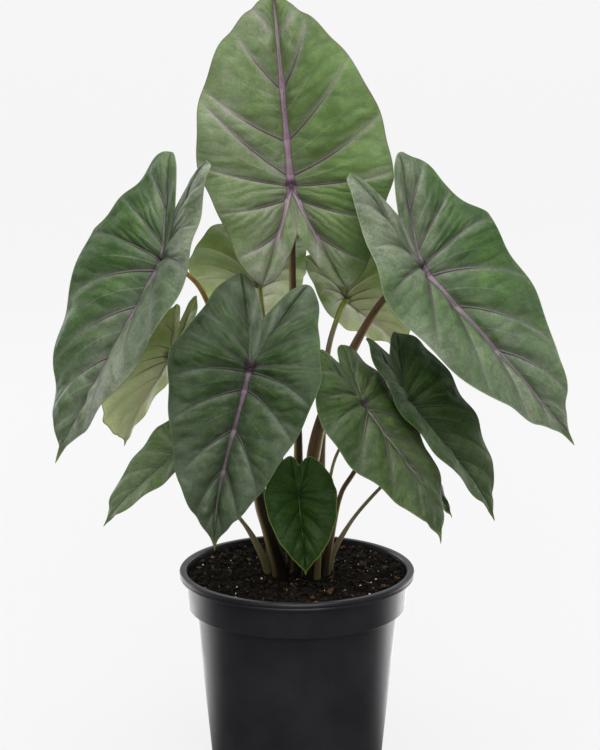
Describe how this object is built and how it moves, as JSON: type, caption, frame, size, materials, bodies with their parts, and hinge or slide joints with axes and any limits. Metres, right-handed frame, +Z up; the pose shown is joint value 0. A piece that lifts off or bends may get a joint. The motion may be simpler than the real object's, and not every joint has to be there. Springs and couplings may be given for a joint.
{
  "type": "potted alocasia plant",
  "caption": "Aroid house plant with large arrow-shaped, dark-veined leaves on long fleshy stalks, standing in a round black nursery pot of soil.",
  "frame": {"origin": "centre of the flat foot of the pot, where it stands on the surface", "axes": "+Z up along the pot's axis; the front of the plant faces -Y, and +X is to the right of a viewer who looks at the front"},
  "size_m": [0.3503, 0.1918, 0.5592],
  "materials": {
    "pot": "black moulded plastic, satin",
    "soil": "dark moist potting mix with bark and perlite",
    "blade": "leathery leaf, dark green above with purple veins, paler below",
    "stalk": "smooth fleshy leaf stalk, brown with olive"
  },
  "bodies": {
    "root": {"pot": "pot", "soil": "soil", "blade_crown": "blade", "blade_left": "blade", "blade_right": "blade", "blade_front": "blade", "blade_front_right": "blade", "blade_low_right": "blade", "blade_small_front": "blade", "blade_low_left": "blade", "blade_back_left": "blade", "blade_back": "blade", "blade_back_right": "blade", "blade_hidden_right": "blade", "stalk_crown": "stalk", "stalk_left": "stalk", "stalk_right": "stalk", "stalk_front": "stalk", "stalk_front_right": "stalk", "stalk_low_right": "stalk", "stalk_small_front": "stalk", "stalk_low_left": "stalk", "stalk_back_left": "stalk", "stalk_back": "stalk", "stalk_back_right": "stalk", "stalk_hidden_right": "stalk"}
  },
  "joints": []
}
